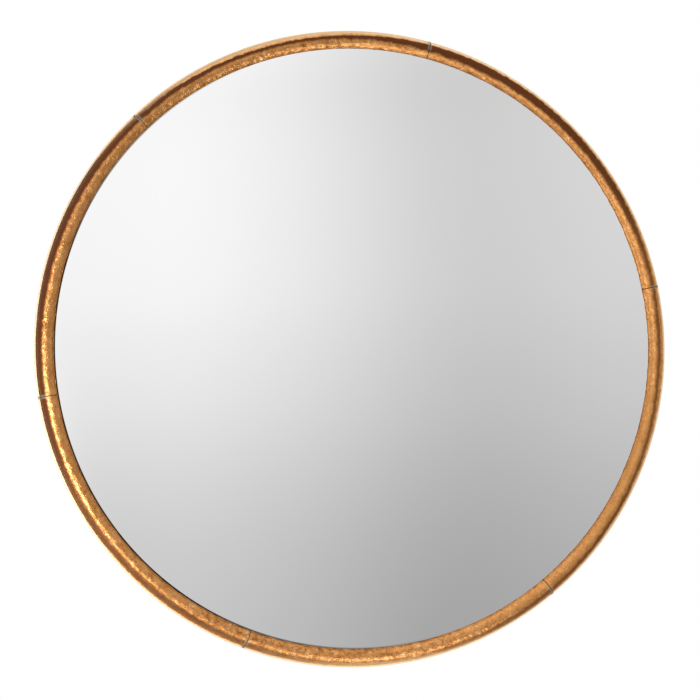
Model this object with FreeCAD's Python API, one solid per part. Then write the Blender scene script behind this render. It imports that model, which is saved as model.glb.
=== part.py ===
import FreeCAD, Part
import math
import os

# A convex butler's mirror, modelled as it hangs. The front looks along -Y, +X is to the right
# and +Z is up. The origin is the centre of the ring on the plane of the wall (y = 0).
# Everything round is drawn at the three o'clock side of the ring, where +X is outwards and +Z
# runs along the ring, and is then turned about the ring's axis to its own angle.
# Lengths are in millimetres, and angles in degrees from three o'clock, upwards.

# ---------------------------------------------------------------------------
# Driving sizes
# ---------------------------------------------------------------------------

# Frame moulding
outer_diameter = 800.0
frame_depth = 36.0          # crown of the bead to the flat back
bead_radius = 10.6          # the front is a bead, nearly half-round
bead_inner_tilt = 70.0      # where the bead stops inside, in degrees round from its crown
bead_side = 10.0            # straight side behind the bead, down to the lip
lip_width = 2.6             # how far the lip stands out past the bead
lip_thickness = 3.0
lip_arris = 0.5             # softened front edge of the lip
side_taper = 2.4            # how far the side leans in, from the lip to the back
back_chamfer = 1.0          # outer back edge
sight_wall = 0.6            # straight wall inside the bead, down to the rebate
rebate_width = 8.1
joint_angles = (11.7, 75.8, 133.7, 189.3, 249.8, 309.6)
joint_arris = 0.3           # radius of the bead's rubbed edge at each joint

# Dowels in the joints, two to a joint
dowel_diameter = 6.0
dowel_length = 30.0
dowel_chamfer = 1.0
dowel_glue_space = 1.0      # hole left past each end of a dowel
front_dowel_depth = 11.0    # below the crown of the bead
back_dowel_depth = 10.0     # below the flat back

# Convex glass and what it is bedded in
glass_sphere_radius = 1600.0
glass_thickness = 4.0
glass_side_gap = 2.0        # round the rim of the glass, inside the rebate
felt_thickness = 0.6        # at the sight edge, where the glass comes nearest the frame
felt_width = 6.0
packer_count = 6
packer_length = 24.0
foam_width = 10.0
foam_inset = 0.5            # from the back corner of the glass

# Backing board
board_thickness = 6.0
board_side_gap = 1.0
board_arris = 0.5

# Turn buttons that hold the board, one in the middle of each segment
button_thickness = 1.2
button_gap = 0.2            # under a button, so that it turns
button_heel_radius = 5.0
button_tip_radius = 3.2
button_reach = 15.0         # screw to the centre of the tip
button_lip_length = 3.5     # raised finger lip at the tip
button_lip_angle = 30.0
button_hole_clearance = 0.2
button_head_gap = 0.1

# Slotted round-head wood screws
button_screw_diameter = 3.0
button_screw_length = 14.0
button_head_diameter = 6.4
button_head_height = 2.0
hanger_screw_diameter = 3.0
hanger_screw_length = 16.0
hanger_head_diameter = 6.0
hanger_head_height = 1.8
screw_point_length = 3.0
screw_bite = 0.25           # how far the thread bites into its pilot hole, on the radius
slot_width = 0.8
slot_depth = 0.9

# Ring hangers on the back
hanger_angle = 30.0         # middle of the strap, up from three o'clock and from nine
strap_length = 38.0         # eye to free end
strap_width = 10.0
strap_thickness = 1.2
strap_end_radius = 4.0
strap_roll_end = 200.0      # where the rolled eye stops, round from the free side
strap_hole_clearance = 0.2
strap_near_hole = 18.0      # eye to the nearer screw
strap_far_hole = 31.0       # eye to the farther screw
ring_wire_radius = 1.25
ring_pin_clearance = 0.15   # between the wire and the inside of the eye
ring_side_gap = 1.0         # between the strap's edge and a leg of the ring
ring_leg_length = 5.0
ring_corner_radius = 2.0

# Bumpers that hold the mirror off the wall
bumper_angles = (60.0, 120.0, 240.0, 300.0)
bumper_height = 6.0
bumper_base_radius = 5.5
bumper_top_radius = 4.7
bumper_edge_radius = 0.8

# ---------------------------------------------------------------------------
# Worked-out sizes
# ---------------------------------------------------------------------------

full_turn = 360.0
eighth_turn = math.radians(full_turn / 8)
ring_axis = FreeCAD.Vector(0, -1, 0)
origin = FreeCAD.Vector(0, 0, 0)

outer_radius = outer_diameter / 2
back_y = -bumper_height
crown_y = back_y - frame_depth
bead_y = crown_y + bead_radius
bead_outer_radius = outer_radius - lip_width
bead_middle_radius = bead_outer_radius - bead_radius
sight_radius = bead_middle_radius - bead_radius * math.sin(math.radians(bead_inner_tilt))
sight_y = bead_y - bead_radius * math.cos(math.radians(bead_inner_tilt))
shoulder_y = sight_y + sight_wall
rebate_radius = sight_radius + rebate_width
back_radius = outer_radius - side_taper
rim_middle = (back_radius - back_chamfer + rebate_radius) / 2
segment_ends = joint_angles[1:] + (joint_angles[0] + full_turn,)
segment_spans = list(zip(joint_angles, segment_ends))

# The glass is a bowl between two spheres with one centre, which lies behind the mirror.
glass_front_y = shoulder_y + felt_thickness
glass_centre_y = glass_front_y + math.sqrt(glass_sphere_radius**2 - sight_radius**2)
glass_back_sphere = glass_sphere_radius - glass_thickness
glass_radius = rebate_radius - glass_side_gap
glass_back_radius = glass_radius * glass_back_sphere / glass_sphere_radius
board_front_y = back_y - board_thickness

# The straps lie flush with the edge of the rebate, and the eye is at the upper end.
strap_middle_radius = rebate_radius + strap_width / 2
eye_inner_radius = ring_wire_radius + ring_pin_clearance
eye_outer_radius = eye_inner_radius + strap_thickness
eye_y = back_y + eye_outer_radius
eye_z = strap_length / 2
ring_half_width = strap_width / 2 + ring_side_gap + ring_wire_radius


# ---------------------------------------------------------------------------
# Helpers
# ---------------------------------------------------------------------------

def point(x, y, z=0.0):
    return FreeCAD.Vector(x, y, z)


def line(start, end):
    return Part.LineSegment(start, end).toShape()


def arc(start, through, end):
    return Part.Arc(start, through, end).toShape()


def polyline(points):
    """Straight edges through the points, in order, left open."""
    return [line(start, end) for start, end in zip(points, points[1:])]


def face_of(edges):
    return Part.Face(Part.Wire(edges))


def turned(shape, angle):
    """A copy of a shape drawn at three o'clock, turned up round the ring."""
    return shape.rotated(origin, ring_axis, angle)


def ring_of(section, angle=full_turn):
    """A section at three o'clock revolved up round the ring."""
    return section.revolve(origin, ring_axis, angle)


def sphere_y(sphere_radius, radius):
    """Where one of the glass's two spheres stands at a given distance from the axis."""
    return glass_centre_y - math.sqrt(sphere_radius**2 - radius**2)


def sphere_arc(sphere_radius, from_radius, to_radius):
    """An arc of one of the glass's two spheres, between two distances from the axis."""
    middle = (from_radius + to_radius) / 2
    return arc(*[point(radius, sphere_y(sphere_radius, radius))
                 for radius in (from_radius, middle, to_radius)])


def save(name, shape):
    shape.exportStep("parts/" + name + ".step")


# ---------------------------------------------------------------------------
# Frame: six turned segments, joined end to end with dowels
# ---------------------------------------------------------------------------

def moulding_section():
    bead_start = point(sight_radius, sight_y)
    bead_crown = point(bead_middle_radius, crown_y)
    bead_end = point(bead_outer_radius, bead_y)
    ledge_y = bead_y + bead_side
    bead = arc(bead_start, bead_crown, bead_end)
    outline = polyline([
        bead_end,
        point(bead_outer_radius, ledge_y),
        point(outer_radius - lip_arris, ledge_y),
        point(outer_radius, ledge_y + lip_arris),
        point(outer_radius, ledge_y + lip_thickness),
        point(back_radius, back_y - back_chamfer),
        point(back_radius - back_chamfer, back_y),
        point(rebate_radius, back_y),
        point(rebate_radius, shoulder_y),
        point(sight_radius, shoulder_y),
        bead_start,
    ])
    return face_of([bead] + outline)


def joint_cylinders(length):
    """Two cylinders across each joint, as the dowels or as the holes they are glued into."""
    depths = (crown_y + front_dowel_depth, back_y - back_dowel_depth)
    cylinders = [Part.makeCylinder(dowel_diameter / 2, length, point(rim_middle, y, -length / 2))
                 for y in depths]
    return [turned(cylinder, angle) for angle in joint_angles for cylinder in cylinders]


def dowels():
    """Straight dowels with both of their ends chamfered."""
    blanks = joint_cylinders(dowel_length)
    return [blank.makeChamfer(dowel_chamfer, [edge for edge in blank.Edges if edge.isClosed()])
            for blank in blanks]


def is_bead_end(edge):
    """True for the round edge of the bead where a segment ends."""
    return edge.Curve.TypeId == "Part::GeomCircle" and abs(edge.Curve.Radius - bead_radius) < 1e-3


def frame_segments(drilled):
    """The ring cut at its joints, with every hole that is drilled into it."""
    section = moulding_section()
    segments = []
    for start, end in segment_spans:
        segment = turned(ring_of(section, end - start), start)
        bead_ends = [edge for edge in segment.Edges if is_bead_end(edge)]
        segment = segment.makeFillet(joint_arris, bead_ends)
        segments.append(segment.cut(drilled))
    return segments


# ---------------------------------------------------------------------------
# Glass, its bedding and the backing board
# ---------------------------------------------------------------------------

def convex_glass():
    front = sphere_arc(glass_sphere_radius, 0.0, glass_radius)
    back = sphere_arc(glass_back_sphere, glass_back_radius, 0.0)
    rim = line(front.Vertexes[-1].Point, back.Vertexes[0].Point)
    axis = line(back.Vertexes[-1].Point, front.Vertexes[0].Point)
    return ring_of(face_of([front, rim, back, axis]))


def felt_ring():
    """Felt on the rebate's shoulder, wedged by the slope of the glass that presses it."""
    inner = glass_radius - felt_width
    bedded = sphere_arc(glass_sphere_radius, inner, glass_radius)
    sides = polyline([
        bedded.Vertexes[-1].Point,
        point(glass_radius, shoulder_y),
        point(inner, shoulder_y),
        bedded.Vertexes[0].Point,
    ])
    return ring_of(face_of([bedded] + sides))


def edge_packers():
    """Short packers that centre the glass: they fill the gap between its rim and the rebate."""
    front_y = sphere_y(glass_sphere_radius, glass_radius)
    rear_y = sphere_y(glass_back_sphere, glass_back_radius)
    section = face_of(polyline([
        point(glass_radius, front_y),
        point(rebate_radius, front_y),
        point(rebate_radius, rear_y),
        point(glass_back_radius, rear_y),
        point(glass_radius, front_y),
    ]))
    spread = math.degrees(packer_length / glass_radius)
    pitch = full_turn / packer_count
    lowest = -90.0 + pitch / 2
    return [turned(ring_of(section, spread), lowest + pitch * index - spread / 2)
            for index in range(packer_count)]


def foam_ring():
    """Foam that presses the glass forwards when the board is buttoned down."""
    outer = glass_back_radius - foam_inset
    inner = outer - foam_width
    bedded = sphere_arc(glass_back_sphere, inner, outer)
    sides = polyline([
        bedded.Vertexes[-1].Point,
        point(outer, board_front_y),
        point(inner, board_front_y),
        bedded.Vertexes[0].Point,
    ])
    return ring_of(face_of([bedded] + sides))


def backing_board():
    radius = rebate_radius - board_side_gap
    section = face_of(polyline([
        point(0, board_front_y),
        point(radius - board_arris, board_front_y),
        point(radius, board_front_y + board_arris),
        point(radius, back_y - board_arris),
        point(radius - board_arris, back_y),
        point(0, back_y),
        point(0, board_front_y),
    ]))
    return ring_of(section)


# ---------------------------------------------------------------------------
# Screws
# ---------------------------------------------------------------------------

def wood_screw(shank_radius, length, head_radius, head_height):
    """A slotted round-head screw along Y, its head's underside at y = 0 and its point at -Y."""
    dome_start = point(head_radius, 0)
    dome_top = point(0, head_height)
    dome_radius = (head_radius**2 + head_height**2) / (2 * head_height)
    half_angle = math.asin(head_radius / dome_radius) / 2
    dome_middle = point(dome_radius * math.sin(half_angle),
                        head_height - dome_radius * (1 - math.cos(half_angle)))
    dome = arc(dome_start, dome_middle, dome_top)
    shank = polyline([
        dome_top,
        point(0, -length),
        point(shank_radius, -length + screw_point_length),
        point(shank_radius, 0),
        dome_start,
    ])
    screw = face_of([dome] + shank).revolve(origin, point(0, 1, 0), full_turn)
    slot = Part.makeBox(slot_width, slot_depth, 2 * head_radius,
                        point(-slot_width / 2, head_height - slot_depth, -head_radius))
    return screw.cut(slot)


def pilot_hole(shank_radius, depth):
    """The hole for a screw, smaller than its shank by the bite of the thread."""
    return Part.makeCylinder(shank_radius - screw_bite, depth, origin, point(0, -1, 0))


# ---------------------------------------------------------------------------
# Turn buttons
# ---------------------------------------------------------------------------

def button_plan(height):
    """The button's tapered outline, which runs inwards from the screw, as a block."""
    slope = math.asin((button_heel_radius - button_tip_radius) / button_reach)
    across = math.cos(slope)
    along = -math.sin(slope)
    heel_top = point(button_heel_radius * along, 0, button_heel_radius * across)
    heel_bottom = point(heel_top.x, 0, -heel_top.z)
    tip_top = point(button_tip_radius * along - button_reach, 0, button_tip_radius * across)
    tip_bottom = point(tip_top.x, 0, -tip_top.z)
    outline = [
        arc(heel_bottom, point(button_heel_radius, 0), heel_top),
        line(heel_top, tip_top),
        arc(tip_top, point(-button_reach - button_tip_radius, 0), tip_bottom),
        line(tip_bottom, heel_bottom),
    ]
    return face_of(outline).extrude(point(0, height, 0))


def turn_button():
    """A pressed plate with a raised finger lip, drawn about its screw on the flat back."""
    bend_x = -button_reach - button_tip_radius + button_lip_length
    rise = button_lip_length * math.tan(math.radians(button_lip_angle))
    end_x = bend_x - button_lip_length
    top = button_gap + button_thickness
    side = face_of(polyline([
        point(button_heel_radius, button_gap),
        point(button_heel_radius, top),
        point(bend_x, top),
        point(end_x, top + rise),
        point(end_x, button_gap + rise),
        point(bend_x, button_gap),
        point(button_heel_radius, button_gap),
    ]))
    half_width = button_heel_radius
    plate = side.extrude(point(0, 0, 2 * half_width)).translated(point(0, 0, -half_width))
    button = plate.common(button_plan(top + rise))
    hole = Part.makeCylinder(button_screw_diameter / 2 + button_hole_clearance, top,
                             origin, point(0, 1, 0))
    return button.cut(hole)


def on_rim(shape, angle):
    """A piece drawn about a screw at the origin, placed on the flat back of the frame."""
    return turned(shape.translated(point(rim_middle, back_y, 0)), angle)


# ---------------------------------------------------------------------------
# Ring hangers
# ---------------------------------------------------------------------------

def strap_section():
    """The strap from the side: a flat leaf whose upper end is rolled round into an eye."""
    def around_eye(radius, angle):
        return point(0, eye_y + radius * math.sin(math.radians(angle)),
                     eye_z + radius * math.cos(math.radians(angle)))

    bottom = -90.0
    halfway = (bottom + strap_roll_end) / 2
    free_end = eye_z - strap_length
    outer_roll = arc(*[around_eye(eye_outer_radius, angle)
                       for angle in (bottom, halfway, strap_roll_end)])
    inner_roll = arc(*[around_eye(eye_inner_radius, angle)
                       for angle in (strap_roll_end, halfway, bottom)])
    leaf_top = back_y + strap_thickness
    leaf = polyline([
        inner_roll.Vertexes[-1].Point,
        point(0, leaf_top, free_end),
        point(0, back_y, free_end),
        outer_roll.Vertexes[0].Point,
    ])
    roll_end = line(outer_roll.Vertexes[-1].Point, inner_roll.Vertexes[0].Point)
    return face_of([outer_roll, roll_end, inner_roll] + leaf)


def strap_screw_places():
    return [eye_z - strap_near_hole, eye_z - strap_far_hole]


def hanger_strap():
    strip = strap_section().extrude(point(strap_width, 0, 0))
    strap = strip.translated(point(strap_middle_radius - strap_width / 2, 0, 0))
    free_corners = [edge for edge in strap.Edges
                    if abs(edge.CenterOfMass.z - (eye_z - strap_length)) < 1e-3
                    and abs(edge.Length - strap_thickness) < 1e-3]
    strap = strap.makeFillet(strap_end_radius, free_corners)
    hole_radius = hanger_screw_diameter / 2 + strap_hole_clearance
    for z in strap_screw_places():
        hole = Part.makeCylinder(hole_radius, strap_thickness,
                                 point(strap_middle_radius, back_y, z), point(0, 1, 0))
        strap = strap.cut(hole)
    return strap


def hanger_ring():
    """A welded D-ring, hanging down from the strap's eye and lying flat over the strap."""
    def place(x, drop):
        return point(strap_middle_radius + x, eye_y, eye_z - drop)

    side = ring_half_width
    corner = ring_corner_radius
    bend = corner * (1 - math.cos(eighth_turn))
    end = ring_leg_length
    path = Part.Wire([
        line(place(-side + corner, 0), place(side - corner, 0)),
        arc(place(side - corner, 0), place(side - bend, bend), place(side, corner)),
        line(place(side, corner), place(side, end)),
        arc(place(side, end), place(0, end + side), place(-side, end)),
        line(place(-side, end), place(-side, corner)),
        arc(place(-side, corner), place(-side + bend, bend), place(-side + corner, 0)),
    ])
    wire_end = Part.Wire(Part.makeCircle(ring_wire_radius, place(-side + corner, 0),
                                         point(1, 0, 0)))
    return path.makePipeShell([wire_end], True, False)


def hanger_screws():
    screw = wood_screw(hanger_screw_diameter / 2, hanger_screw_length,
                       hanger_head_diameter / 2, hanger_head_height)
    head_seat = back_y + strap_thickness
    return [screw.translated(point(strap_middle_radius, head_seat, z))
            for z in strap_screw_places()]


def on_the_right(shape):
    return turned(shape, hanger_angle)


def on_the_left(shape):
    return on_the_right(shape).mirror(origin, point(1, 0, 0))


# ---------------------------------------------------------------------------
# Wall bumpers
# ---------------------------------------------------------------------------

def wall_bumper():
    """A round rubber foot on the flat back, whose face meets the wall."""
    section = face_of(polyline([
        origin,
        point(bumper_base_radius, 0),
        point(bumper_top_radius, bumper_height),
        point(0, bumper_height),
        origin,
    ]))
    bumper = section.revolve(origin, point(0, 1, 0), full_turn)
    wall_edges = [edge for edge in bumper.Edges
                  if abs(edge.BoundBox.YMin - bumper_height) < 1e-3
                  and abs(edge.BoundBox.YMax - bumper_height) < 1e-3]
    return bumper.makeFillet(bumper_edge_radius, wall_edges)


# ---------------------------------------------------------------------------
# Build
# ---------------------------------------------------------------------------

os.makedirs("parts", exist_ok=True)

# One button in the middle of each segment
button_angles = [(start + end) / 2 for start, end in segment_spans]

dowel_holes = joint_cylinders(dowel_length + 2 * dowel_glue_space)
button_pilot = pilot_hole(button_screw_diameter / 2, button_screw_length)
button_pilots = [on_rim(button_pilot, angle) for angle in button_angles]
hanger_pilot = pilot_hole(hanger_screw_diameter / 2, hanger_screw_length)
strap_pilots = [hanger_pilot.translated(point(strap_middle_radius, back_y, z))
                for z in strap_screw_places()]
right_pilots = [on_the_right(hole) for hole in strap_pilots]
left_pilots = [on_the_left(hole) for hole in strap_pilots]
drilled = Part.makeCompound(dowel_holes + button_pilots + right_pilots + left_pilots)

for number, segment in enumerate(frame_segments(drilled), start=1):
    save("frame_segment_" + str(number), segment)
save("joint_dowels", Part.makeCompound(dowels()))

save("mirror_glass", convex_glass())
save("rebate_felt", felt_ring())
save("edge_packers", Part.makeCompound(edge_packers()))
save("foam_packing_ring", foam_ring())
save("backing_board", backing_board())

button = turn_button()
head_seat = button_gap + button_thickness + button_head_gap
button_screw = wood_screw(button_screw_diameter / 2, button_screw_length,
                          button_head_diameter / 2, button_head_height)
button_screw = button_screw.translated(point(0, head_seat, 0))
for number, angle in enumerate(button_angles, start=1):
    save("turn_button_" + str(number), on_rim(button, angle))
    save("turn_button_screw_" + str(number), on_rim(button_screw, angle))

for side, placed in (("right", on_the_right), ("left", on_the_left)):
    save("hanger_strap_" + side, placed(hanger_strap()))
    save("hanger_ring_" + side, placed(hanger_ring()))
    save("hanger_screws_" + side, Part.makeCompound([placed(screw) for screw in hanger_screws()]))

for number, angle in enumerate(bumper_angles, start=1):
    save("wall_bumper_" + str(number), on_rim(wall_bumper(), angle))
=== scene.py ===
import bmesh
import bpy
import math
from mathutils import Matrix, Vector


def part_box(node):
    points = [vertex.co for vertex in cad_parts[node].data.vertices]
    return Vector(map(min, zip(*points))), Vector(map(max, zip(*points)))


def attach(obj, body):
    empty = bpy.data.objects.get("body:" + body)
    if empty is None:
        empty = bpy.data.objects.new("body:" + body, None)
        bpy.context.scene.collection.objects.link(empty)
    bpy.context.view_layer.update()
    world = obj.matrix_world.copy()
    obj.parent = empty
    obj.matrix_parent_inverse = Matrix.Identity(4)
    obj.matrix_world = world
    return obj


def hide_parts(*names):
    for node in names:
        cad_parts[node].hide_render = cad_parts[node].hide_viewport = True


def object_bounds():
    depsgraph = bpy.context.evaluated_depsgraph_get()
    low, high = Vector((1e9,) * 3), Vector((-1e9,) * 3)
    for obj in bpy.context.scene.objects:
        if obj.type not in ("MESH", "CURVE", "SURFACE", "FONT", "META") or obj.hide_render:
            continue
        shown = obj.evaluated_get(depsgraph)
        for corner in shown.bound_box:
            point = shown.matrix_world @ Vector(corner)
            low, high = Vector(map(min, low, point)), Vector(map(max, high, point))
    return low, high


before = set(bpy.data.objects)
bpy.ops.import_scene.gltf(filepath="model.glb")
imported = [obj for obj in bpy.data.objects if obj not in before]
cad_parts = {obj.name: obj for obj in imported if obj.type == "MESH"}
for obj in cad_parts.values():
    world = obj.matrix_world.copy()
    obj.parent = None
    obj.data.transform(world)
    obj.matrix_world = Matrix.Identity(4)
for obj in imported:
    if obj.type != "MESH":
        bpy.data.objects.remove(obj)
cad_low, cad_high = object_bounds()
bpy.ops.object.select_all(action="DESELECT")

# ---------------------------------------------------------------------------
# Camera
# A long lens, far off, a little to the left of the mirror and a little below
# its middle, as the ellipses of the frame show.
# ---------------------------------------------------------------------------

camera_distance = 6.0
camera_azimuth = math.radians(-8.4)
camera_elevation = math.radians(-2.7)
photo_side_px = 700
ring_width_px = 637.4           # the frame's outer outline, along its longest axis
ring_centre_px = (352.4, 348.2)
outline_y = -0.0214             # where that outline lies on the frame's side
sensor_width = 36.0
sight_limit = 100.0

metres_per_px = (cad_high.x - cad_low.x) / ring_width_px
look = Vector((math.sin(camera_azimuth) * math.cos(camera_elevation),
               -math.cos(camera_azimuth) * math.cos(camera_elevation),
               math.sin(camera_elevation)))
facing = look.to_track_quat("Z", "Y")
off_centre = Vector((photo_side_px / 2 - ring_centre_px[0],
                     ring_centre_px[1] - photo_side_px / 2, 0)) * metres_per_px
aim = Vector((0, outline_y, 0)) + facing @ off_centre

camera_data = bpy.data.cameras.new("camera")
camera_data.sensor_width = sensor_width
camera_data.lens = sensor_width * camera_distance / (photo_side_px * metres_per_px)
camera_data.clip_end = sight_limit
camera = bpy.data.objects.new("camera", camera_data)
camera.location = aim + look * camera_distance
camera.rotation_mode = "QUATERNION"
camera.rotation_quaternion = facing
bpy.context.scene.collection.objects.link(camera)
bpy.context.scene.camera = camera
bpy.context.scene.view_settings.view_transform = "Standard"

# ---------------------------------------------------------------------------
# Studio
# The mirror hangs at eye height over a pale floor, in white light from all
# round. A tent of grey cloth before it, far off, is what the glass reflects.
# ---------------------------------------------------------------------------


def linear(hex_colour):
    """An sRGB hex colour, such as "C8964B", as linear red, green and blue, and alpha 1."""
    channels = [int(hex_colour[i:i + 2], 16) / 255 for i in (0, 2, 4)]
    straight = [c / 12.92 if c <= 0.04045 else ((c + 0.055) / 1.055) ** 2.4 for c in channels]
    return (*straight, 1.0)


def add_node(tree, kind, inputs=None, **settings):
    """Adds a node with its settings, and sets or links each of its inputs."""
    node = tree.nodes.new(kind)
    for name, value in settings.items():
        setattr(node, name, value)
    for socket, value in (inputs or {}).items():
        if isinstance(value, bpy.types.NodeSocket):
            tree.links.new(value, node.inputs[socket])
        else:
            node.inputs[socket].default_value = value
    return node


def set_stops(ramp, stops, interpolation="LINEAR"):
    """Gives a colour ramp its stops, as (place from 0 to 1, linear colour)."""
    ramp.color_ramp.interpolation = interpolation
    elements = ramp.color_ramp.elements
    while len(elements) < len(stops):
        elements.new(1.0)
    for element, (place, colour) in zip(elements, stops):
        element.position = place
        element.color = colour


def by_angle(tree, angle, limit, top, levels):
    """A level from 0 to top for an angle in radians, from (degrees, level) within the limit."""
    place = add_node(tree, "ShaderNodeMapRange", {
        "Value": angle, "From Min": -math.radians(limit), "From Max": math.radians(limit)})
    ramp = add_node(tree, "ShaderNodeValToRGB", {"Fac": place.outputs["Result"]})
    shares = [((degrees + limit) / (2 * limit), level / top) for degrees, level in levels]
    set_stops(ramp, [(at, (share, share, share, 1)) for at, share in shares], "B_SPLINE")
    return add_node(tree, "ShaderNodeMath", {0: ramp.outputs["Color"], 1: top},
                    operation="MULTIPLY").outputs[0]


def new_material(name):
    """An empty material, and its node tree."""
    material = bpy.data.materials.new(name)
    material.use_nodes = True
    material.node_tree.nodes.clear()
    return material, material.node_tree


# The world is white to the camera, to glass and to metal, and lights the rest less.
white_level = 1.0
diffuse_level = 0.75
world = bpy.data.worlds.new("studio light")
world.use_nodes = True
sky = world.node_tree
sky.nodes.clear()
ray = add_node(sky, "ShaderNodeLightPath")
camera_or_glossy = add_node(sky, "ShaderNodeMath", {
    0: ray.outputs["Is Camera Ray"], 1: ray.outputs["Is Glossy Ray"]}, operation="MAXIMUM")
seen = add_node(sky, "ShaderNodeMath", {
    0: camera_or_glossy.outputs[0], 1: ray.outputs["Is Transmission Ray"]}, operation="MAXIMUM")
level = add_node(sky, "ShaderNodeMapRange", {
    "Value": seen.outputs[0], "To Min": diffuse_level, "To Max": white_level})
white_sky = add_node(sky, "ShaderNodeBackground", {
    "Color": (1, 1, 1, 1), "Strength": level.outputs["Result"]})
add_node(sky, "ShaderNodeOutputWorld", {"Surface": white_sky.outputs[0]})
bpy.context.scene.world = world

# The tent's tone, as a share of white, by the direction it is seen in from the
# mirror: in degrees across, to the right, and in degrees up.
tent_radius = 30.0
tent_behind = 0.35              # how far it comes round behind the mirror, in its radii
across_tones = [(-116, 1.1), (-100, 1.1), (-72, 1.2), (-50, 1.15), (-28, 1.22), (-14, 1.257),
                (-8.6, 1.257), (-2.8, 1.187), (3, 1.107), (8.8, 1.0), (14.5, 0.897),
                (20.3, 0.831), (26, 0.84), (32, 0.88), (40, 0.92), (52, 0.85),
                (66, 0.85), (78, 1.05)]
up_tones = [(-78, 0.8), (-64, 0.6), (-44, 0.42), (-26, 0.456), (-20.2, 0.474), (-14.5, 0.515),
            (-8.7, 0.571), (-3, 0.64), (2.7, 0.68), (8.4, 0.738), (14.1, 0.745),
            (19.8, 0.753), (25.6, 0.75), (31.4, 0.72), (44, 0.90), (62, 1.2), (78, 1.3)]
brightest = 1.3
# A bright opening in the tent, at the left and low, past what the glass shows.
window_tone = 2.2
window_across = [(-80, 0), (-64, 0), (-52, window_tone), (-36, window_tone), (-26, 0), (-16, 0)]
window_up = [(-56, 0), (-42, 0), (-30, 1), (-8, 1), (4, 0), (14, 0)]
glass_reflectance = 0.92

bpy.ops.mesh.primitive_uv_sphere_add(segments=64, ring_count=32, radius=tent_radius)
tent = bpy.context.object
tent.name = "studio_tent"
bpy.ops.object.mode_set(mode="EDIT")
bpy.ops.mesh.select_all(action="SELECT")
bpy.ops.mesh.bisect(plane_co=(0, tent_radius * tent_behind, 0), plane_no=(0, 1, 0),
                    clear_outer=True)
bpy.ops.mesh.select_all(action="SELECT")
bpy.ops.mesh.flip_normals()
bpy.ops.object.mode_set(mode="OBJECT")
tent_material, tree = new_material("tent cloth")
place = add_node(tree, "ShaderNodeTexCoord").outputs["Object"]
split = add_node(tree, "ShaderNodeSeparateXYZ", {0: place})
ahead = add_node(tree, "ShaderNodeMath", {0: split.outputs["Y"], 1: -1.0}, operation="MULTIPLY")
across = add_node(tree, "ShaderNodeMath", {0: split.outputs["X"], 1: ahead.outputs[0]},
                  operation="ARCTAN2")
height = add_node(tree, "ShaderNodeMath", {0: split.outputs["Z"], 1: tent_radius},
                  operation="DIVIDE")
up = add_node(tree, "ShaderNodeMath", {0: height.outputs[0]}, operation="ARCSINE")
tone = add_node(tree, "ShaderNodeMath", {
    0: by_angle(tree, across.outputs[0], 120, brightest, across_tones),
    1: by_angle(tree, up.outputs[0], 90, brightest, up_tones)}, operation="MULTIPLY")
window = add_node(tree, "ShaderNodeMath", {
    0: by_angle(tree, across.outputs[0], 120, window_tone, window_across),
    1: by_angle(tree, up.outputs[0], 90, 1.0, window_up)}, operation="MULTIPLY")
tone = add_node(tree, "ShaderNodeMath", {0: tone.outputs[0], 1: window.outputs[0]})
glow = add_node(tree, "ShaderNodeMath", {0: tone.outputs[0], 1: glass_reflectance},
                operation="DIVIDE")
cloth = add_node(tree, "ShaderNodeEmission", {
    "Color": (1, 1, 1, 1), "Strength": glow.outputs[0]})
add_node(tree, "ShaderNodeOutputMaterial", {"Surface": cloth.outputs[0]})
tent.data.materials.append(tent_material)
tent.visible_camera = False
tent.visible_diffuse = False
tent.visible_shadow = False
tent.visible_transmission = False

# The floor is far below the middle of the mirror, and ends before the glass can show
# it. It is pale matt paint, with broad, faint clouds.
floor_drop = 1.5
floor_size = 5.0
floor_back = 1.0
floor_clouds_per_metre = 3.0
bpy.ops.mesh.primitive_plane_add(size=floor_size, location=(0, floor_back, -floor_drop))
floor = bpy.context.object
floor.name = "floor"
floor_material, tree = new_material("pale studio floor")
place = add_node(tree, "ShaderNodeTexCoord").outputs["Object"]
clouds = add_node(tree, "ShaderNodeTexNoise", {
    "Vector": place, "Scale": floor_clouds_per_metre})
floor_tone = add_node(tree, "ShaderNodeMix", {
    "Factor": clouds.outputs["Fac"], "A": linear("F2F1EF"), "B": linear("F7F6F4")},
    data_type="RGBA")
matt = add_node(tree, "ShaderNodeBsdfPrincipled", {
    "Base Color": floor_tone.outputs["Result"], "Roughness": 0.9})
add_node(tree, "ShaderNodeOutputMaterial", {"Surface": matt.outputs[0]})
floor.data.materials.append(floor_material)


def soft_lamp(name, place, aim, width, height, spread, watts):
    """A soft lamp turned to a point, with its light held to a spread in degrees."""
    data = bpy.data.lights.new(name, "AREA")
    data.shape = "RECTANGLE"
    data.size = width
    data.size_y = height
    data.spread = math.radians(spread)
    data.energy = watts
    lamp = bpy.data.objects.new(name, data)
    lamp.location = place
    lamp.rotation_mode = "QUATERNION"
    lamp.rotation_quaternion = (Vector(place) - Vector(aim)).to_track_quat("Z", "Y")
    bpy.context.scene.collection.objects.link(lamp)


# The key is at the left and the fill low in front, both outside what the glass
# shows the camera. A third lamp lights the wall side from above.
soft_lamp("key_lamp", place=(-0.79, -0.77, -0.36), aim=(-0.40, 0, -0.08),
          width=0.2, height=0.6, spread=50, watts=0.95)
soft_lamp("low_lamp", place=(0.2, -0.95, -1.3), aim=(0.05, 0, -0.4),
          width=0.3, height=0.3, spread=120, watts=2.6)
soft_lamp("wall_side_lamp", place=(0.8, 2.0, 1.2), aim=(0, 0, 0),
          width=0.8, height=0.8, spread=180, watts=18.0)

# ---------------------------------------------------------------------------
# Frame segments
# Six lengths of turned wood moulding, glued end to end on dowels: a bead with
# a narrow lip behind it. The bead is gilded over red clay, toned and rubbed,
# with painted shade and a painted highlight laid into its colour.
# ---------------------------------------------------------------------------

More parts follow.
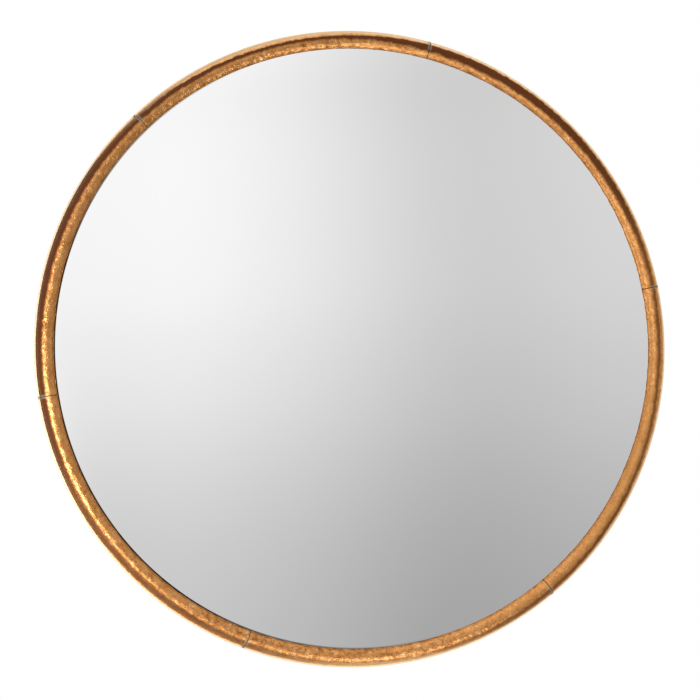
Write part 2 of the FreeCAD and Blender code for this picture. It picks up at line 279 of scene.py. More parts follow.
bead_radius = 0.0106
bead_inner_tilt = 70.0          # where the bead stops inside, in degrees from its crown
bead_outer_tilt = 90.0
bead_side = 0.010
lip_width = 0.0026
lip_thickness = 0.003
lip_arris = 0.0005
side_taper = 0.0024
back_chamfer = 0.001
sight_wall = 0.0006
rebate_width = 0.0081
bead_points = 144               # round the whole circle that the bead is part of
step_length = 0.001             # along the bead
joint_arris = 0.00035
crease_angle = math.radians(50)

tilt_spare = 0.1                # in degrees, so that the bead keeps the points at its ends
same_place = 1e-6
chord_sag = 1e-5                # more than the turned faces lie inside their circle
hair = 1e-4
past_rebate = 0.0004

# Segment 5 is at the foot of the ring.
segment_low, segment_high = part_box("frame_segment_5")
ring_radius = -segment_low.z
crown_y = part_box("frame_segment_1")[0].y
back_y = segment_high.y
bead_y = crown_y + bead_radius
ledge_y = bead_y + bead_side
bead_middle = ring_radius - lip_width - bead_radius
bead_outer = bead_middle + bead_radius
sight_radius = bead_middle - bead_radius * math.sin(math.radians(bead_inner_tilt))
sight_y = bead_y - bead_radius * math.cos(math.radians(bead_inner_tilt))
back_radius = ring_radius - side_taper


def start_and_span(node):
    """The angle at which a segment starts, from three o'clock up, and how far it runs."""
    corners = [v.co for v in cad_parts[node].data.vertices]
    middle = sum(corners, Vector()) / len(corners)
    bearing = math.atan2(middle.z, middle.x)
    turns = [math.remainder(math.atan2(c.z, c.x) - bearing, math.tau) for c in corners]
    return bearing + min(turns), max(turns) - min(turns)


def pick(piece, test):
    """In edit mode, selects the points that pass a test of their place, and no others."""
    mesh = bmesh.from_edit_mesh(piece.data)
    bpy.ops.mesh.select_all(action="DESELECT")
    for point in mesh.verts:
        point.select = test(point.co)
    mesh.select_flush(True)
    bmesh.update_edit_mesh(piece.data)


def extrude_to(x, y):
    """Extrudes the one selected point of the active piece to a place in its section."""
    mesh = bmesh.from_edit_mesh(bpy.context.object.data)
    here = next(point.co for point in mesh.verts if point.select)
    step = (x - here.x, y - here.y, 0)
    bpy.ops.mesh.extrude_region_move(TRANSFORM_OT_translate={"value": step})


def dent(piece, name, kind, size, depth, **settings):
    """Sinks the surface along a procedural pattern of marks of a given size, and bakes it."""
    texture = bpy.data.textures.new(name, kind)
    texture.noise_scale = size
    for setting, value in settings.items():
        setattr(texture, setting, value)
    marks = piece.modifiers.new(name, "DISPLACE")
    marks.texture = texture
    marks.strength = depth
    marks.mid_level = 1.0
    marks.vertex_group = "gilded"
    bpy.context.view_layer.objects.active = piece
    bpy.ops.object.modifier_apply(modifier=marks.name)


def turn_segment(node):
    """One segment: its section is drawn at three o'clock, spun to its length and turned up."""
    start, span = start_and_span(node)
    bpy.ops.object.select_all(action="DESELECT")
    bpy.ops.mesh.primitive_circle_add(vertices=bead_points, radius=bead_radius,
                                      location=(bead_middle, bead_y, 0))
    piece = bpy.context.object
    piece.name = node + "_gilded"
    bpy.ops.object.transform_apply(location=True, rotation=False, scale=False)
    bpy.ops.object.mode_set(mode="EDIT")
    pick(piece, lambda co: not -bead_inner_tilt - tilt_spare
         < math.degrees(math.atan2(co.x - bead_middle, bead_y - co.y))
         < bead_outer_tilt + tilt_spare)
    bpy.ops.mesh.delete(type="VERT")
    pick(piece, lambda co: co.x > bead_outer - same_place)
    extrude_to(bead_outer, ledge_y)
    extrude_to(ring_radius - lip_arris, ledge_y)
    extrude_to(ring_radius, ledge_y + lip_arris)
    extrude_to(ring_radius, ledge_y + lip_thickness)
    extrude_to(back_radius, back_y - back_chamfer)
    extrude_to(back_radius - back_chamfer, back_y)
    extrude_to(sight_radius + rebate_width, back_y)
    extrude_to(sight_radius + rebate_width, sight_y + sight_wall)
    extrude_to(sight_radius, sight_y + sight_wall)
    pick(piece, lambda co: abs(co.x - sight_radius) < same_place)
    bpy.ops.mesh.edge_face_add()
    bpy.ops.mesh.select_all(action="SELECT")
    steps = round(span * bead_middle / step_length)
    bpy.ops.mesh.spin(steps=steps, angle=span, center=(0, 0, 0), axis=(0, 1, 0))
    bpy.ops.mesh.select_all(action="SELECT")
    bpy.ops.mesh.normals_make_consistent(inside=False)
    bpy.ops.object.mode_set(mode="OBJECT")
    piece.rotation_euler = (0, -start, 0)
    bpy.ops.object.transform_apply(location=False, rotation=True, scale=False)
    gilded = piece.vertex_groups.new(name="gilded")
    gilded.add([v.index for v in piece.data.vertices
                if v.co.y < ledge_y - hair
                and math.hypot(v.co.x, v.co.z) > sight_radius + hair], 1.0, "REPLACE")
    dent(piece, "uneven turning", "CLOUDS", size=0.035, depth=0.0004, noise_depth=1)
    dent(piece, "worn gesso", "CLOUDS", size=0.004, depth=0.0003, noise_depth=2)
    dent(piece, "pits", "VORONOI", size=0.007, depth=0.0005, intensity=1.35, contrast=1.7)
    bpy.ops.object.mode_set(mode="EDIT")
    bpy.ops.mesh.select_all(action="SELECT")
    bpy.ops.mesh.fill_holes(sides=0)
    # Only the two end caps have more than four corners. Their edges are the joint's arrises.
    mesh = bmesh.from_edit_mesh(piece.data)
    bpy.ops.mesh.select_all(action="DESELECT")
    for face in mesh.faces:
        if len(face.verts) > 4:
            for edge in face.edges:
                edge.select = True
    bmesh.update_edit_mesh(piece.data)
    bpy.ops.mesh.bevel(offset=joint_arris, segments=2)
    bpy.ops.mesh.select_all(action="SELECT")
    bpy.ops.mesh.normals_make_consistent(inside=False)
    bpy.ops.object.mode_set(mode="OBJECT")
    bpy.ops.object.shade_smooth_by_angle(angle=crease_angle)
    from_joint = piece.data.attributes.new("from_joint", "FLOAT", "POINT")
    for index, point in enumerate(piece.data.vertices):
        turn = math.remainder(math.atan2(point.co.z, point.co.x) - start - span / 2, math.tau)
        from_joint.data[index].value = max(0.0, span / 2 - abs(turn)) * bead_middle
    return piece


def around_axis(tree):
    """The object place, its parts along the axes, and its distance from the mirror's axis."""
    place = add_node(tree, "ShaderNodeTexCoord").outputs["Object"]
    parts = add_node(tree, "ShaderNodeSeparateXYZ", {0: place}).outputs
    flat_place = add_node(tree, "ShaderNodeCombineXYZ", {"X": parts["X"], "Z": parts["Z"]})
    from_axis = add_node(tree, "ShaderNodeVectorMath", {0: flat_place.outputs[0]},
                         operation="LENGTH").outputs["Value"]
    return place, parts, from_axis


# Gold leaf on red bole, on gessoed wood. Rubbed leaf is a soft metal under a
# thin shellac: mottled from ochre to pale gold, red where the leaf has worn
# through to the clay, and brown in a band along the bead that is partly toning
# wash and partly painted shade. A painted highlight lies on the outer flank.
gold_material, tree = new_material("antiqued gold leaf over red bole")
place, parts, from_axis = around_axis(tree)
outwards = add_node(tree, "ShaderNodeMath", {0: from_axis, 1: bead_middle},
                    operation="SUBTRACT").outputs[0]
forwards = add_node(tree, "ShaderNodeMath", {0: bead_y, 1: parts["Y"]},
                    operation="SUBTRACT").outputs[0]
# The tilt of the bead's face is 0 on the crown and positive down the outer side.
# The bearing is 0 at three o'clock and runs up.
tilt = add_node(tree, "ShaderNodeMath", {0: outwards, 1: forwards},
                operation="ARCTAN2").outputs[0]
bearing = add_node(tree, "ShaderNodeMath", {0: parts["Z"], 1: parts["X"]},
                   operation="ARCTAN2").outputs[0]
along = add_node(tree, "ShaderNodeMath", {0: bearing, 1: bead_middle},
                 operation="MULTIPLY").outputs[0]
around = add_node(tree, "ShaderNodeMath", {0: tilt, 1: bead_radius},
                  operation="MULTIPLY").outputs[0]
on_bead = add_node(tree, "ShaderNodeCombineXYZ", {"X": along, "Y": around}).outputs[0]

mottle_size = 0.011
mottle_mean = 0.51
mottle = add_node(tree, "ShaderNodeTexNoise", {
    "Vector": place, "Scale": 1 / mottle_size, "Detail": 8.0, "Roughness": 0.78}).outputs["Fac"]
# The leaf lies smooth at the lower right, and is broken up elsewhere.
broken = by_angle(tree, bearing, 180, 1.0, [
    (-180, 0.65), (-150, 0.65), (-120, 0.85), (-105, 1.0), (-75, 1.0), (-60, 0.55),
    (-40, 0.35), (0, 0.35), (20, 0.5), (45, 0.75), (90, 0.8), (150, 0.7), (180, 0.65)])
off_mean = add_node(tree, "ShaderNodeMath", {0: mottle, 1: mottle_mean},
                    operation="SUBTRACT").outputs[0]
mottle = add_node(tree, "ShaderNodeMath", {0: off_mean, 1: broken, 2: mottle_mean},
                  operation="MULTIPLY_ADD").outputs[0]
leaf_colour = add_node(tree, "ShaderNodeValToRGB", {"Fac": mottle})
set_stops(leaf_colour, [(0.37, linear("945E2E")), (0.46, linear("C38547")),
                        (0.56, linear("D49759")), (0.66, linear("ECBE88"))])

# Bole shows in specks and short rubs, a few millimetres long.
rub_size = 0.003
bole_red = linear("8A4A24")
rub = add_node(tree, "ShaderNodeTexNoise", {
    "Vector": place, "Scale": 1 / rub_size, "Detail": 5.0, "Roughness": 0.72}).outputs["Fac"]
rubbed = add_node(tree, "ShaderNodeMapRange", {
    "Value": rub, "From Min": 0.54, "From Max": 0.62, "To Max": 0.8}).outputs["Result"]
rubbed = add_node(tree, "ShaderNodeMath", {0: rubbed, 1: broken}, operation="MULTIPLY").outputs[0]
leaf_and_bole = add_node(tree, "ShaderNodeMix", {
    "Factor": rubbed, "A": leaf_colour.outputs["Color"], "B": bole_red},
    data_type="RGBA").outputs["Result"]

# A brown band lies along the bead, between two edges that wander: on the
# outer flank at the left, near the crown at the top and right. It is thin at the bottom.
# It is partly a toning wash and partly painted shade: the dark reflected band on the
# bead, which also trims the highlight beside it.
# The edges are in degrees of tilt, and the lift keeps them above 0, as a level has to be.
tilt_lift = 20.0
ragged_size = 0.008
ragged_reach = 36.0             # in degrees of tilt, as the fades are
inner_fade = (4.0, 28.0)
outer_fade = (12.0, 24.0)
# This brown is partly toning wash and partly painted shade.
wash_and_shade_brown = linear("5C3015")
wash_and_shade_inner_edge = by_angle(tree, bearing, 180, 90, [
    (-180, 50), (-165, 49), (-150, 45), (-135, 38), (-120, 42), (-105, 52), (-90, 57), (-75, 53),
    (-60, 41), (-45, 41), (-30, 37), (-15, 28), (0, 12), (14, 28), (30, 6), (60, 1),
    (75, 8), (90, 28), (120, 28), (135, 33), (150, 41), (165, 46), (180, 50)])
wash_and_shade_outer_edge = by_angle(tree, bearing, 180, 200, [
    (-180, 200), (-150, 190), (-135, 116), (-120, 104), (-105, 108), (-90, 80), (-75, 82),
    (-60, 104), (-45, 76), (-30, 62), (-15, 47), (0, 38), (15, 49), (30, 57), (60, 62),
    (75, 66), (90, 51), (120, 54), (135, 110), (150, 190), (180, 200)])
wash_and_shade_level = by_angle(tree, bearing, 180, 1.0, [
    (-180, 1.0), (-160, 0.95), (-150, 0.72), (-120, 0.75), (-105, 0.6), (-90, 0.1),
    (-75, 0.35), (-60, 0.85), (-30, 0.88), (-15, 0.65), (0, 0.85), (15, 0.7), (30, 1.0),
    (180, 1.0)])
ragged = add_node(tree, "ShaderNodeTexNoise", {
    "Vector": place, "Scale": 1 / ragged_size, "Detail": 5.0, "Roughness": 0.65}).outputs["Fac"]
lifted_tilt = add_node(tree, "ShaderNodeMath", {
    0: tilt, 1: 180 / math.pi, 2: tilt_lift}, operation="MULTIPLY_ADD").outputs[0]
ragged_tilt = add_node(tree, "ShaderNodeMath", {
    0: ragged, 1: ragged_reach, 2: lifted_tilt}, operation="MULTIPLY_ADD").outputs[0]
past_inner = add_node(tree, "ShaderNodeMath", {
    0: ragged_tilt, 1: wash_and_shade_inner_edge}, operation="SUBTRACT").outputs[0]
past_inner = add_node(tree, "ShaderNodeMapRange", {
    "Value": past_inner, "From Min": inner_fade[0], "From Max": inner_fade[1]},
    interpolation_type="SMOOTHSTEP").outputs["Result"]
past_outer = add_node(tree, "ShaderNodeMath", {
    0: ragged_tilt, 1: wash_and_shade_outer_edge}, operation="SUBTRACT").outputs[0]
past_outer = add_node(tree, "ShaderNodeMapRange", {
    "Value": past_outer, "From Min": outer_fade[0], "From Max": outer_fade[1]},
    interpolation_type="SMOOTHSTEP").outputs["Result"]
in_band = add_node(tree, "ShaderNodeMath", {0: past_inner, 1: past_outer},
                   operation="SUBTRACT", use_clamp=True).outputs[0]
wash_and_shade_share = add_node(tree, "ShaderNodeMath", {0: in_band, 1: wash_and_shade_level},
                      operation="MULTIPLY").outputs[0]
# The toned colour carries the painted shade of the band.
toned_and_shaded = add_node(tree, "ShaderNodeMix", {
    "Factor": wash_and_shade_share, "A": leaf_and_bole, "B": wash_and_shade_brown},
    data_type="RGBA").outputs["Result"]

# At the top and the right the steep outer flank of the bead is painted pale: a painted
# highlight, the white room reflected there. On the lip the leaf is rubbed away to the
# cream gesso. The side behind the lip keeps its leaf.
# This cream is rubbed gesso on the lip and a painted highlight on the flank.
gesso_and_highlight_cream = linear("F6DCB0")
flank_highlight_fade = (78.0, 98.0)       # in degrees of lifted tilt
lip_fade = (0.0004, 0.0013)     # outwards from the bead's side
side_fade = (-0.0004, 0.0012)   # backwards from the lip's back edge
flank_highlight_level = by_angle(tree, bearing, 180, 1.0, [
    (-180, 0.0), (-110, 0.0), (-90, 0.5), (-75, 0.4), (-60, 0.05), (-40, 0.3), (-20, 0.7),
    (0, 0.95), (45, 0.9), (75, 0.7), (90, 0.6), (120, 0.5), (132, 0.15), (142, 0.0),
    (180, 0.0)])
on_flank = add_node(tree, "ShaderNodeMapRange", {
    "Value": ragged_tilt, "From Min": flank_highlight_fade[0], "From Max": flank_highlight_fade[1]},
    interpolation_type="SMOOTHSTEP").outputs["Result"]
flank_painted_highlight = add_node(tree, "ShaderNodeMath", {0: on_flank, 1: flank_highlight_level},
                      operation="MULTIPLY").outputs[0]
on_lip = add_node(tree, "ShaderNodeMapRange", {
    "Value": from_axis, "From Min": bead_outer + lip_fade[0], "From Max": bead_outer + lip_fade[1],
    "To Max": 0.85}).outputs["Result"]
before_side = add_node(tree, "ShaderNodeMapRange", {
    "Value": parts["Y"], "From Min": ledge_y + lip_thickness + side_fade[0],
    "From Max": ledge_y + lip_thickness + side_fade[1],
    "To Min": 1.0, "To Max": 0.0}).outputs["Result"]
lip_worn = add_node(tree, "ShaderNodeMath", {0: on_lip, 1: before_side},
                    operation="MULTIPLY").outputs[0]
# The first mix lays the painted highlight on the flank, the second the rubbed lip.
worn_and_highlighted = add_node(tree, "ShaderNodeMix", {
    "Factor": flank_painted_highlight, "A": toned_and_shaded, "B": gesso_and_highlight_cream}, data_type="RGBA").outputs["Result"]
worn_and_highlighted = add_node(tree, "ShaderNodeMix", {
    "Factor": lip_worn, "A": worn_and_highlighted, "B": gesso_and_highlight_cream}, data_type="RGBA").outputs["Result"]

# The joints show as a dark hairline, with grey filler rubbed over the shoulder beside it.
filler_fade = (0.0008, 0.0032)
filler_tilts = (-8, 12)
hairline_fade = (0.0003, 0.0007)
filler_grey = linear("9A8C78")
joint_brown = linear("3A2412")
from_joint = add_node(tree, "ShaderNodeAttribute", attribute_name="from_joint").outputs["Fac"]
filler_reach = add_node(tree, "ShaderNodeMapRange", {
    "Value": from_joint, "From Min": filler_fade[0], "From Max": filler_fade[1],
    "To Min": 1.0, "To Max": 0.0}).outputs["Result"]
on_shoulder = add_node(tree, "ShaderNodeMapRange", {
    "Value": tilt, "From Min": math.radians(filler_tilts[0]),
    "From Max": math.radians(filler_tilts[1])}).outputs["Result"]
filled = add_node(tree, "ShaderNodeMath", {0: filler_reach, 1: on_shoulder},
                  operation="MULTIPLY").outputs[0]
filled = add_node(tree, "ShaderNodeMath", {0: filled, 1: ragged}, operation="MULTIPLY").outputs[0]
filled = add_node(tree, "ShaderNodeMath", {0: filled, 1: 1.5}, operation="MULTIPLY",
                  use_clamp=True).outputs[0]
with_filler = add_node(tree, "ShaderNodeMix", {
    "Factor": filled, "A": worn_and_highlighted, "B": filler_grey}, data_type="RGBA").outputs["Result"]
hairline = add_node(tree, "ShaderNodeMapRange", {
    "Value": from_joint, "From Min": hairline_fade[0], "From Max": hairline_fade[1],
    "To Min": 0.9, "To Max": 0.0}).outputs["Result"]
gold_colour = add_node(tree, "ShaderNodeMix", {
    "Factor": hairline, "A": with_filler, "B": joint_brown},
    data_type="RGBA").outputs["Result"]

# Where the leaf is gone, and under the painted highlight on the flank, the surface is
# no metal and has no shellac, and under the band of wash and painted shade it is duller too.
wash_and_shade_dulls = 0.6
bare = add_node(tree, "ShaderNodeMath", {0: filled, 1: lip_worn}, operation="MAXIMUM").outputs[0]
bare = add_node(tree, "ShaderNodeMath", {0: bare, 1: hairline}, operation="MAXIMUM").outputs[0]
bare = add_node(tree, "ShaderNodeMath", {0: bare, 1: flank_painted_highlight}, operation="MAXIMUM").outputs[0]
dull = add_node(tree, "ShaderNodeMath", {0: wash_and_shade_share, 1: wash_and_shade_dulls},
                operation="MULTIPLY").outputs[0]
dull = add_node(tree, "ShaderNodeMath", {0: dull, 1: bare}, operation="MAXIMUM").outputs[0]
metal = add_node(tree, "ShaderNodeMapRange", {
    "Value": dull, "To Min": 1.0, "To Max": 0.15}).outputs["Result"]
gloss = add_node(tree, "ShaderNodeMapRange", {
    "Value": dull, "To Min": 0.5, "To Max": 0.0}).outputs["Result"]
shellac = add_node(tree, "ShaderNodeMapRange", {
    "Value": dull, "To Min": 0.25, "To Max": 0.0}).outputs["Result"]

# Scratches run with the bead, and pits and grain are a few millimetres across at most.
scratch_length = 0.012
scratch_width = 0.0009
pit_size = 0.005
grain_size = 0.0018
relief_depth = 0.00055
scratch_place = add_node(tree, "ShaderNodeVectorMath", {
    0: on_bead, 1: (1 / scratch_length, 1 / scratch_width, 1)}, operation="MULTIPLY").outputs[0]
scratches = add_node(tree, "ShaderNodeTexNoise", {
    "Vector": scratch_place, "Scale": 1.0, "Detail": 3.0}, noise_dimensions="2D").outputs["Fac"]
pits = add_node(tree, "ShaderNodeTexVoronoi", {
    "Vector": place, "Scale": 1 / pit_size, "Randomness": 1.0}).outputs["Distance"]
pitted = add_node(tree, "ShaderNodeMapRange", {
    "Value": pits, "From Min": 0.05, "From Max": 0.2}).outputs["Result"]
fine_grain = add_node(tree, "ShaderNodeTexNoise", {
    "Vector": place, "Scale": 1 / grain_size, "Detail": 3.0}).outputs["Fac"]
relief = pitted
for pattern, share in ((scratches, 0.3), (rub, 1.2), (fine_grain, 0.5)):
    relief = add_node(tree, "ShaderNodeMath", {0: pattern, 1: share, 2: relief},
                      operation="MULTIPLY_ADD").outputs[0]
bump = add_node(tree, "ShaderNodeBump", {
    "Height": relief, "Strength": broken, "Distance": relief_depth}).outputs["Normal"]
leaf_roughness = add_node(tree, "ShaderNodeMapRange", {
    "Value": rub, "From Min": 0.35, "From Max": 0.65,
    "To Min": 0.24, "To Max": 0.46}).outputs["Result"]
gold_roughness = add_node(tree, "ShaderNodeMath", {
    0: dull, 1: 0.3, 2: leaf_roughness}, operation="MULTIPLY_ADD").outputs[0]
gold = add_node(tree, "ShaderNodeBsdfPrincipled", {
    "Base Color": gold_colour, "Metallic": metal, "Roughness": gold_roughness,
    "Specular IOR Level": gloss, "Specular Tint": linear("D09858"), "Normal": bump,
    "Coat Weight": shellac, "Coat Roughness": 0.3})
add_node(tree, "ShaderNodeOutputMaterial", {"Surface": gold.outputs[0]})

# Ochre size paint on the back and in the rebate: flat, thin and brushed, with
# the grain of the wood showing a little.
ochre_patch_size = 0.03
brush_stroke_size = 0.002
ochre_material, tree = new_material("brushed ochre paint on wood")
place = add_node(tree, "ShaderNodeTexCoord").outputs["Object"]
patches = add_node(tree, "ShaderNodeTexNoise", {
    "Vector": place, "Scale": 1 / ochre_patch_size, "Detail": 5.0}).outputs["Fac"]
strokes = add_node(tree, "ShaderNodeTexNoise", {
    "Vector": place, "Scale": 1 / brush_stroke_size, "Detail": 2.0}).outputs["Fac"]
ochre = add_node(tree, "ShaderNodeMix", {
    "Factor": patches, "A": linear("5E4226"), "B": linear("8A6536")}, data_type="RGBA")
bump = add_node(tree, "ShaderNodeBump", {
    "Height": strokes, "Strength": 0.3, "Distance": 0.0003}).outputs["Normal"]
paint = add_node(tree, "ShaderNodeBsdfPrincipled", {
    "Base Color": ochre.outputs["Result"], "Roughness": 0.7, "Normal": bump})
add_node(tree, "ShaderNodeOutputMaterial", {"Surface": paint.outputs[0]})


def is_gilded(face):
    """Leaf covers the bead, the lip and the side. The back and the rebate are painted."""
    radius = math.hypot(face.center.x, face.center.z)
    on_front = face.center.y < bead_y and radius > sight_radius - chord_sag
    clear_of_rebate = (radius < sight_radius + hair
                       or radius > sight_radius + rebate_width + past_rebate)
    on_side = radius > back_radius - back_chamfer and face.center.y < back_y - hair
    return on_side or (on_front and (face.normal.y < 0.5 or clear_of_rebate))


for number in range(1, 7):
    node = "frame_segment_" + str(number)
    segment = turn_segment(node)
    segment.data.materials.append(gold_material)
    segment.data.materials.append(ochre_material)
    for face in segment.data.polygons:
        face.material_index = 0 if is_gilded(face) else 1
    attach(segment, "mirror")
    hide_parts(node)

# ---------------------------------------------------------------------------
# Convex glass
# A round of plate glass slumped to a shallow dome and silvered behind. It is
# a smooth mirror with a faint grey cast, and a dark line is painted at the
# very edge, at the left and below: painted shade where the bead shades the gap.
# ---------------------------------------------------------------------------

sphere_radius = 1.6
glass_thickness = 0.004
radial_steps = 64
round_steps = 256
point_size = 0.01               # of the plane that is merged to the first point
merge_distance = 0.00002
glass_crease_angle = math.radians(40)

glass_low, glass_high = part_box("mirror_glass")
glass_radius = glass_high.x
sphere_centre = Vector((0, glass_low.y + sphere_radius, 0))
rim_angle = math.asin(glass_radius / sphere_radius)

bpy.ops.object.select_all(action="DESELECT")
bpy.ops.mesh.primitive_plane_add(size=point_size)
glass = bpy.context.object
glass.name = "mirror_glass_dome"
bpy.ops.object.mode_set(mode="EDIT")
bpy.ops.mesh.select_all(action="SELECT")
bpy.ops.mesh.merge(type="CENTER")
bpy.ops.transform.translate(value=(0, glass_low.y, 0))
bpy.ops.mesh.spin(steps=radial_steps, angle=rim_angle, center=sphere_centre, axis=(0, 0, -1))
to_centre = Vector((-math.sin(rim_angle), math.cos(rim_angle), 0))
bpy.ops.mesh.extrude_region_move(TRANSFORM_OT_translate={"value": to_centre * glass_thickness})
bpy.ops.mesh.spin(steps=radial_steps, angle=-rim_angle, center=sphere_centre, axis=(0, 0, -1))
bpy.ops.mesh.select_all(action="SELECT")
bpy.ops.mesh.spin(steps=round_steps, angle=math.tau, center=(0, 0, 0), axis=(0, 1, 0))
bpy.ops.mesh.select_all(action="SELECT")
bpy.ops.mesh.remove_doubles(threshold=merge_distance)
bpy.ops.mesh.normals_make_consistent(inside=False)
bpy.ops.object.mode_set(mode="OBJECT")
bpy.ops.object.shade_smooth_by_angle(angle=glass_crease_angle)

# Silver behind clear glass: a bright, smooth mirror, with a dark brown line painted at
# its very edge at the left and below: painted shade of the gap under the bead.
edge_width = 0.0022
edge_fade = 0.0006
shaded_side_way = (-0.94, 0, -0.342)   # the edge is darkest on this side
shaded_side_reach = 0.8                # how far over that side it is fully dark, in sight radii
mirror_material, tree = new_material("silvered mirror glass")
place, _, from_axis = around_axis(tree)
at_edge = add_node(tree, "ShaderNodeMapRange", {
    "Value": from_axis, "From Min": sight_radius - edge_width,
    "From Max": sight_radius - edge_width + edge_fade}).outputs["Result"]
over_shaded_side = add_node(tree, "ShaderNodeVectorMath", {
    0: place, 1: shaded_side_way}, operation="DOT_PRODUCT").outputs["Value"]
shaded_side = add_node(tree, "ShaderNodeMapRange", {
    "Value": over_shaded_side, "From Min": 0.0,
    "From Max": shaded_side_reach * sight_radius}).outputs["Result"]
painted_shade_edge = add_node(tree, "ShaderNodeMath", {0: at_edge, 1: shaded_side},
                     operation="MULTIPLY").outputs[0]
# The dark brown at the edge is painted shade.
silver_colour = add_node(tree, "ShaderNodeMix", {
    "Factor": painted_shade_edge, "A": linear("F6F5F5"), "B": linear("2C211A")}, data_type="RGBA")
silver = add_node(tree, "ShaderNodeBsdfPrincipled", {
    "Base Color": silver_colour.outputs["Result"], "Metallic": 1.0, "Roughness": 0.015})
add_node(tree, "ShaderNodeOutputMaterial", {"Surface": silver.outputs[0]})
glass.data.materials.append(mirror_material)
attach(glass, "mirror")
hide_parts("mirror_glass")

# ---------------------------------------------------------------------------
# Felt, packers, foam and dowels
# Black felt beds the glass on the rebate's shoulder, short rubber packers
# centre it, and a ring of closed-cell foam presses it from behind. Beech
# dowels, two to a joint, hold the segments together.
# ---------------------------------------------------------------------------


def dress(node, material):
    """Gives a CAD node that is shown as it is one material all over."""
    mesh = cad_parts[node].data
    mesh.materials.clear()
    mesh.materials.append(material)


def grained_material(name, dark, light, grain_size, roughness, metallic=0.0, bump_depth=0.0002):
    """A material with a fine grain of a given size in metres, between two colours."""
    material, tree = new_material(name)
    place = add_node(tree, "ShaderNodeTexCoord").outputs["Object"]
    grain = add_node(tree, "ShaderNodeTexNoise", {
        "Vector": place, "Scale": 1 / grain_size, "Detail": 4.0}).outputs["Fac"]
    colour = add_node(tree, "ShaderNodeMix", {
        "Factor": grain, "A": linear(dark), "B": linear(light)}, data_type="RGBA")
    bump = add_node(tree, "ShaderNodeBump", {
        "Height": grain, "Strength": 0.4, "Distance": bump_depth}).outputs["Normal"]
    surface = add_node(tree, "ShaderNodeBsdfPrincipled", {
        "Base Color": colour.outputs["Result"], "Roughness": roughness,
        "Metallic": metallic, "Normal": bump})
    add_node(tree, "ShaderNodeOutputMaterial", {"Surface": surface.outputs[0]})
    return material


# Felt shows as a flat black line, rubber as a smoother black, foam as a matt grey with
# fine cells, and beech as pale wood with a close grain.
felt_material = grained_material("black wool felt", "0C0B0A", "1C1A18",
                                 grain_size=0.0008, roughness=0.95)
rubber_material = grained_material("moulded black rubber", "161514", "211F1D",
                                   grain_size=0.002, roughness=0.6)
foam_material = grained_material("grey closed-cell foam", "4A4A4C", "626264",
                                 grain_size=0.001, roughness=0.9)
beech_material = grained_material("turned beech", "B98E5C", "D2AC78",
                                  grain_size=0.003, roughness=0.6)
dress("rebate_felt", felt_material)
dress("edge_packers", rubber_material)
dress("foam_packing_ring", foam_material)
dress("joint_dowels", beech_material)

# ---------------------------------------------------------------------------
# Backing board
# A disc of fibreboard, cut with a fine saw: brown, flat and smooth, with the
# fibres pressed into a faint fleck. Dust has settled in broad paler clouds, and
# the cut edge has been handled and is darker.
# ---------------------------------------------------------------------------

board_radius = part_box("backing_board")[1].x
fibre_length = 0.006
fibre_depth = 0.002
fibre_width = 0.0015
dust_cloud_size = 0.16
handled_width = 0.045
board_material, tree = new_material("medium-density fibreboard")
place, _, from_axis = around_axis(tree)
fibre_place = add_node(tree, "ShaderNodeVectorMath", {
    0: place, 1: (1 / fibre_length, 1 / fibre_depth, 1 / fibre_width)},
    operation="MULTIPLY").outputs[0]
fibres = add_node(tree, "ShaderNodeTexNoise", {
    "Vector": fibre_place, "Scale": 1.0, "Detail": 3.0, "Roughness": 0.7}).outputs["Fac"]
fleck = add_node(tree, "ShaderNodeValToRGB", {"Fac": fibres})
set_stops(fleck, [(0.30, linear("6E5030")), (0.48, linear("94724A")),
                  (0.60, linear("A5835A")), (0.74, linear("C3A47A"))])
clouds = add_node(tree, "ShaderNodeTexNoise", {
    "Vector": place, "Scale": 1 / dust_cloud_size, "Detail": 9.0,
    "Roughness": 0.72}).outputs["Fac"]
dusty = add_node(tree, "ShaderNodeMapRange", {
    "Value": clouds, "From Min": 0.40, "From Max": 0.72, "To Max": 0.26}).outputs["Result"]
with_dust = add_node(tree, "ShaderNodeMix", {
    "Factor": dusty, "A": fleck.outputs["Color"], "B": linear("C9B391")},
    data_type="RGBA").outputs["Result"]
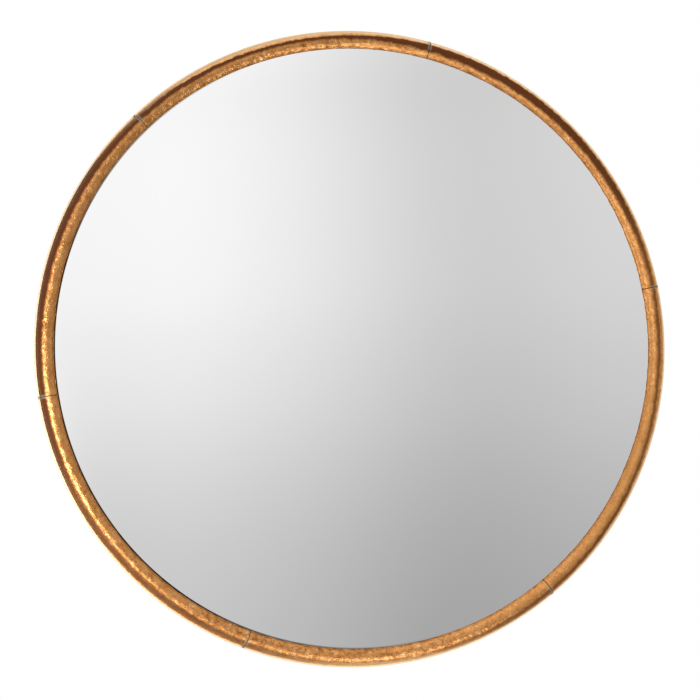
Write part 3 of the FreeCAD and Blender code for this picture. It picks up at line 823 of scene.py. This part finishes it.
handled = add_node(tree, "ShaderNodeMapRange", {
    "Value": from_axis, "From Min": board_radius - handled_width, "From Max": board_radius,
    "To Max": 0.45}, interpolation_type="SMOOTHSTEP").outputs["Result"]
board_colour = add_node(tree, "ShaderNodeMix", {
    "Factor": handled, "A": with_dust, "B": linear("6A4C30")},
    data_type="RGBA").outputs["Result"]
bump = add_node(tree, "ShaderNodeBump", {
    "Height": fibres, "Strength": 0.4, "Distance": 0.0002}).outputs["Normal"]
board_surface = add_node(tree, "ShaderNodeBsdfPrincipled", {
    "Base Color": board_colour, "Roughness": 0.78, "Normal": bump})
add_node(tree, "ShaderNodeOutputMaterial", {"Surface": board_surface.outputs[0]})
dress("backing_board", board_material)

# ---------------------------------------------------------------------------
# Turn buttons and their screws
# Pressed brass plates with a raised finger lip, each on one slotted brass
# screw. Handling has left them dull, with a cloudy grain.
# ---------------------------------------------------------------------------

brass_material = grained_material("dull pressed brass", "9C7A3C", "C2A05A", grain_size=0.004,
                                  roughness=0.38, metallic=1.0, bump_depth=0.00005)
screw_material = grained_material("turned brass screw", "8A6A32", "D0AE68", grain_size=0.0015,
                                  roughness=0.3, metallic=1.0, bump_depth=0.00004)
for number in range(1, 7):
    dress("turn_button_" + str(number), brass_material)
    dress("turn_button_screw_" + str(number), screw_material)

# ---------------------------------------------------------------------------
# Ring hangers
# A steel strap with its end rolled round the bar of a welded D-ring, and two
# screws. All are zinc plated, which gives a cool, slightly cloudy shine.
# ---------------------------------------------------------------------------

zinc_material = grained_material("zinc-plated steel", "9A9C9E", "C4C6C6", grain_size=0.003,
                                 roughness=0.32, metallic=1.0, bump_depth=0.00003)
for side in ("right", "left"):
    dress("hanger_strap_" + side, zinc_material)
    dress("hanger_ring_" + side, zinc_material)
    dress("hanger_screws_" + side, zinc_material)

# ---------------------------------------------------------------------------
# Wall bumpers
# Four round feet of the same black rubber, stuck to the back of the frame so
# that it stands off the wall.
# ---------------------------------------------------------------------------

for number in range(1, 5):
    dress("wall_bumper_" + str(number), rubber_material)
